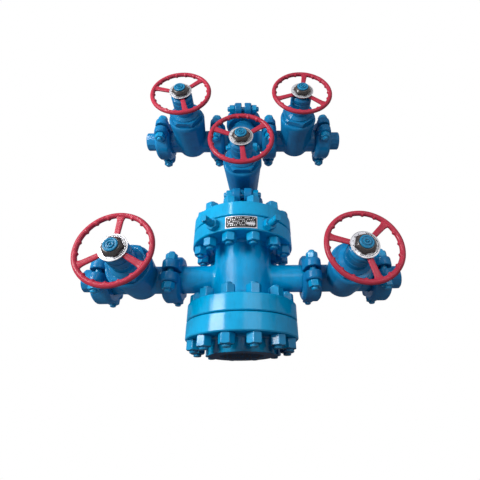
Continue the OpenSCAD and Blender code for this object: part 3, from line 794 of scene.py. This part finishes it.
fillets("spool_outlet_fillets", saddle_fillet(spool_height, SPOOL_FILLET), (0, 0, OUTLET_HEIGHT), SIDEWAYS,
        FLANGE_ENAMEL)
fillets("cross_fillets", saddle_fillet(cross_height, CROSS_FILLET), (0, 0, CROSS_HEIGHT),
        LEFT_AND_RIGHT + UP_AND_DOWN, CAST_ENAMEL)
for valve_name, place in WHEEL_PLACE.items():
    fillets(valve_name + "_neck_fillets", saddle_fillet(barrel_height, BARREL_FILLET), (place.x, 0, place.z),
            UP_AND_DOWN if valve_name == "master" else LEFT_AND_RIGHT, CAST_ENAMEL)


WELD_GAP = 0.02 * MM
CASTING_CELL = 2.6 * MM


def cast_clamp():
    """A clamp as it leaves the mould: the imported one, remade in even cells, smoothed and thinned out."""
    mesh = frame["nodes"]["adapter_clamp"].data.copy()
    copy = bpy.data.objects.new("cast_clamp_pattern", mesh)
    bpy.context.scene.collection.objects.link(copy)
    weld = copy.modifiers.new("weld", "WELD")
    weld.merge_threshold = WELD_GAP
    cells = copy.modifiers.new("cells", "REMESH")
    cells.mode = "VOXEL"
    cells.voxel_size = CASTING_CELL
    soft = copy.modifiers.new("soft", "SMOOTH")
    soft.factor = 0.5
    soft.iterations = 7
    thin = copy.modifiers.new("thin", "DECIMATE")
    thin.ratio = 0.33
    made = bpy.data.meshes.new_from_object(copy.evaluated_get(bpy.context.evaluated_depsgraph_get()))
    points = np.empty(len(made.vertices) * 3)
    made.vertices.foreach_get("co", points)
    faces = [list(p.vertices) for p in made.polygons]
    bpy.data.objects.remove(copy)
    return points.reshape(-1, 3) - [0, 0, UPRIGHT_CLAMPS["adapter_clamp"]], faces


def clamp_places():
    """Each clamp's node and the matrix from an upright clamp at the origin to its place."""
    for node, z in UPRIGHT_CLAMPS.items():
        yield node, moved(0, 0, z)
    # The pipe's axis goes from Z to X, and the bolts' from X to Z
    lie = turned(QUARTER, "Z") @ turned(QUARTER, "X") @ turned(-QUARTER, "Z")
    for run, reaches, z in (("wing", WING_CLAMPS, CROSS_HEIGHT), ("annulus", ANNULUS_CLAMPS, OUTLET_HEIGHT)):
        for side, sign in (("left", -1), ("right", 1)):
            for place, x in zip(("inner", "outer"), reaches):
                yield f"{side}_{run}_{place}_clamp", moved(sign * x, 0, z) @ lie


pattern = cast_clamp()
for node_name, matrix in clamp_places():
    casting = piece("cast_" + node_name, [placed(pattern, matrix)], "root", CAST_ENAMEL,
                    sharp_above=70)
    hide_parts(node_name)


def bare_steel(name):
    """Turned steel left without paint, gone brown and grey with old grease: dull, with no shine left."""
    material, tree, place = blank_material(name)
    patch = add(tree, "TexNoise", {"Vector": place, "Scale": 1 / (12 * MM), "Detail": 5, "Roughness": 0.62})
    spots = add(tree, "TexNoise", {"Vector": place, "Scale": 1 / (3.5 * MM), "Detail": 3, "Roughness": 0.6})
    brown = add(tree, "MapRange", {"Value": patch, "From Min": 0.36, "From Max": 0.64})
    pale = add(tree, "MapRange", {"Value": spots, "From Min": 0.55, "From Max": 0.68})
    colour = laid_over(tree, "#4E6E82", "#6E5A4C", brown)
    colour = laid_over(tree, colour, "#9A9084", pale, 0.7)
    bump = add(tree, "Bump", {"Strength": 0.5, "Distance": 0.4 * MM, "Height": spots})
    steel = add(tree, "BsdfPrincipled", {
        "Base Color": colour, "Roughness": 0.75, "Specular IOR Level": 0.0, "Normal": bump,
    })
    add(tree, "OutputMaterial", {"Surface": steel})
    return material


BARE_STEEL = bare_steel("oxidised_turned_steel")

FOOT_RADIUS = 0.140
FOOT_HEIGHT = 0.058
FOOT_FILLET = 10 * MM
FOOT_WORN_EDGE = 2.5 * MM
CASING_BORE = 90 * MM
CASING_BORE_TOP = 128.5 * MM
SOCKET_RADIUS = 36.5 * MM
SOCKET_DEPTH = 68 * MM
SOCKET_LIP = 0.3 * MM
FLOW_RADIUS = 32.5 * MM
END_FACES = ((0.554, CROSS_HEIGHT), (0.714, OUTLET_HEIGHT))
SKIN = 0.25 * MM
SKIN_CLEAR = 0.05 * MM


def casing_foot():
    """The casing head's neck: its outline turned about Z, with edges below rounded by wear.

    A quarter circle fills the corner under the flange.
    """
    below = FOOT_HEIGHT - FOOT_FILLET
    corners = [(CASING_BORE, FOOT_HEIGHT), (CASING_BORE, 0), (FOOT_RADIUS, 0), (FOOT_RADIUS, below)]
    arc = np.linspace(math.pi, QUARTER, 7)
    fillet = [FOOT_RADIUS + FOOT_FILLET, below] + FOOT_FILLET * np.stack([np.cos(arc), np.sin(arc)], -1)
    outline = np.concatenate([rounded_profile(corners, FOOT_WORN_EDGE)[:-1], fillet])
    return revolved(outline, 160, closed=True)


def skin_of_tube(radius, low, high, step_radius=None):
    """The bare skin of a bore along Z, a quarter of a millimetre thick. In a socket it has a step."""
    outer, inner = radius - SKIN_CLEAR, radius - SKIN
    foot = [(inner, low)]
    if step_radius:
        foot = [(inner, low + SKIN), (step_radius, low + SKIN), (step_radius, low)]
    return revolved([(outer, high), (inner, high), *foot, (outer, low)], 96, closed=True)


foot = piece("casing_foot", [casing_foot()], "root", FLANGE_ENAMEL)
foot.data.materials.append(BARE_STEEL)
middles = np.empty(len(foot.data.polygons) * 3)
foot.data.polygons.foreach_get("center", middles)
middles = middles.reshape(-1, 3)
on_lower_face = middles[:, 2] < 0.6 * MM
in_bore = np.hypot(middles[:, 0], middles[:, 1]) < CASING_BORE + 1 * MM
foot.data.polygons.foreach_set("material_index", (on_lower_face | in_bore).astype(np.int32))
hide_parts("casing_head")

bore_skin = skin_of_tube(CASING_BORE, FOOT_HEIGHT, CASING_BORE_TOP)
piece("casing_bore_skin", [bore_skin], "root", BARE_STEEL)
socket_skin = skin_of_tube(SOCKET_RADIUS, -SOCKET_DEPTH, -SOCKET_LIP, FLOW_RADIUS)
sockets = [
    placed(socket_skin, moved(side * reach, 0, z) @ turned(side * QUARTER, "Y"))
    for reach, z in END_FACES for side in (-1, 1)
]
piece("line_socket_skins", sockets, "root", BARE_STEEL)


def smooth_node(node_name, material):
    """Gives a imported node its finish, and welds its triangles for smooth shading with sharp edges kept."""
    obj = frame["nodes"][node_name]
    obj.data.materials.clear()
    obj.data.materials.append(material)
    weld = obj.modifiers.new("weld", "WELD")
    weld.merge_threshold = WELD_GAP
    split = obj.modifiers.new("edges", "EDGE_SPLIT")
    split.split_angle = math.radians(30)


ENAMEL_OF_SLOT = {"flange_enamel": FLANGE_ENAMEL, "valve_enamel": CAST_ENAMEL, "bolt_enamel": BOLT_ENAMEL}
for subpart in frame["record"]["subparts"]:
    if subpart["material_slot"] in ENAMEL_OF_SLOT:
        smooth_node(subpart["node"], ENAMEL_OF_SLOT[subpart["material_slot"]])
frame["nodes"]["tubing_head"].data.materials[0] = SPOOL_ENAMEL


FLOOR_HOLE = 0.139
FLOOR_EDGE = 12.0
FADE_START, FADE_END = 2.2, 4.5
WHITE_SHARE = 0.45
MIDDLE = (0.0, 0.0, 0.65)

# Each lamp's place, what it faces, its width and height, and its power in watts. The big boxes on the left
# end sharply towards the front, which draws the bands down the flanges' rims.
LAMPS = {
    "left_box": ((-2.65, -2.35, 1.70), (0, 0, 0.75), (2.0, 0.7), 34),
    "left_low_box": ((-2.65, -2.35, 0.87), (0, 0, 0.40), (1.9, 0.66), 87),
    "left_strip": ((-1.55, -3.1, 2.3), (0, 0, 0.6), (0.16, 1.2), 22),
    "front_box": ((1.4, -3.6, 0.9), MIDDLE, (2.4, 1.6), 27),
    "back_box": ((0.4, 3.7, 2.4), MIDDLE, (4.0, 3.2), 64),
}


def seen_rays(tree):
    """1 on the rays that show a surface: straight into the camera, in a reflection or through glass."""
    ray = add(tree, "LightPath")
    return largest(tree, *[ray.outputs[f"Is {kind} Ray"] for kind in ("Camera", "Glossy", "Transmission")])


def pale_floor():
    """A pale disc round the foot of the casing neck, which stands in the hole at its middle.

    Seen from beneath it's clear, because the camera looks up through it, and its edge fades into the white
    background. It throws back less light than it shows, so that undersides stay dark.
    """
    material, tree, place = blank_material("pale_studio_floor")
    seen = seen_rays(tree)
    matt = add(tree, "BsdfDiffuse", {"Color": laid_over(tree, "#9A9A9A", "#F2F2F2", seen)})
    # A share of plain white where it's seen keeps it pale away from the lamps, and the shadow stays
    white = add(tree, "Emission", {"Color": "#FFFFFF", "Strength": 1.0})
    pale = add(tree, "MixShader", {0: product(tree, seen, WHITE_SHARE), 1: matt, 2: white})
    distance = add(tree, "VectorMath", {"operation": "LENGTH", 0: place}).outputs["Value"]
    fade = add(tree, "MapRange", {"Value": distance, "From Min": FADE_START, "From Max": FADE_END})
    beneath = add(tree, "NewGeometry").outputs["Backfacing"]
    camera_ray = add(tree, "LightPath").outputs["Is Camera Ray"]
    see_through = product(tree, largest(tree, beneath, fade), camera_ray)
    clear = add(tree, "BsdfTransparent")
    add(tree, "OutputMaterial", {"Surface": add(tree, "MixShader", {0: see_through, 1: pale, 2: clear})})
    rows, columns = 24, 64
    radius = np.linspace(FLOOR_HOLE, FLOOR_EDGE, rows)[:, None]
    angle = np.linspace(0, TURN, columns, endpoint=False)[None]
    x, y = radius * np.cos(angle), radius * np.sin(angle)
    index = np.arange(rows * columns).reshape(rows, columns)
    quads = np.stack([index[:-1], index[1:], np.roll(index[1:], -1, 1), np.roll(index[:-1], -1, 1)], -1)
    mesh = bpy.data.meshes.new("studio_floor")
    mesh.from_pydata(np.stack([x, y, 0 * x], -1).reshape(-1, 3).tolist(), [], quads.reshape(-1, 4).tolist())
    mesh.materials.append(material)
    floor = bpy.data.objects.new("studio_floor", mesh)
    bpy.context.scene.collection.objects.link(floor)


def white_world():
    """White behind the object and in its reflections, and an even, slightly cool dome of light on it."""
    world = bpy.data.worlds.new("studio_dome")
    bpy.context.scene.world = world
    world.use_nodes = True
    tree = world.node_tree
    tree.nodes.clear()
    dome = add(tree, "Background", {"Color": "#B8CCF2", "Strength": 0.27})
    white = add(tree, "Background", {"Color": "#FFFFFF", "Strength": 1.0})
    add(tree, "OutputWorld", {"Surface": add(tree, "MixShader", {0: seen_rays(tree), 1: dome, 2: white})})


def soft_box(name, place, target, size, power):
    """A rectangular white lamp that faces a target."""
    lamp = bpy.data.lights.new(name, "AREA")
    lamp.shape = "RECTANGLE"
    lamp.size, lamp.size_y = size
    lamp.energy = power
    obj = bpy.data.objects.new(name, lamp)
    bpy.context.scene.collection.objects.link(obj)
    towards = Vector(target) - Vector(place)
    obj.matrix_world = moved(*place) @ towards.to_track_quat("-Z", "Y").to_matrix().to_4x4()
    obj.visible_camera = False


def photo_camera():
    """The camera at the photograph's angle: below the floor's level in front, looking up at 31 degrees.

    Its angles are the turn to the right, the tilt upwards and the roll, in radians.
    """
    yaw, pitch, roll = 0.017, 0.5337, -0.0184
    forward = Vector((math.sin(yaw) * math.cos(pitch), math.cos(yaw) * math.cos(pitch), math.sin(pitch)))
    level = Vector((math.cos(yaw), -math.sin(yaw), 0))
    above = level.cross(forward)
    right = level * math.cos(roll) + above * math.sin(roll)
    up = above * math.cos(roll) - level * math.sin(roll)
    data = bpy.data.cameras.new("photo_camera")
    data.sensor_width = 36
    data.lens = 24.77
    data.shift_x = -0.0359
    data.shift_y = -0.0554
    camera = bpy.data.objects.new("photo_camera", data)
    bpy.context.scene.collection.objects.link(camera)
    axes = Matrix((right, up, -forward)).transposed().to_4x4()
    camera.matrix_world = moved(0.04796, -1.45893, -0.1837) @ axes
    bpy.context.scene.camera = camera


pale_floor()
white_world()
for lamp_name, settings in LAMPS.items():
    soft_box(lamp_name, *settings)
photo_camera()
bpy.context.scene.view_settings.view_transform = "Standard"
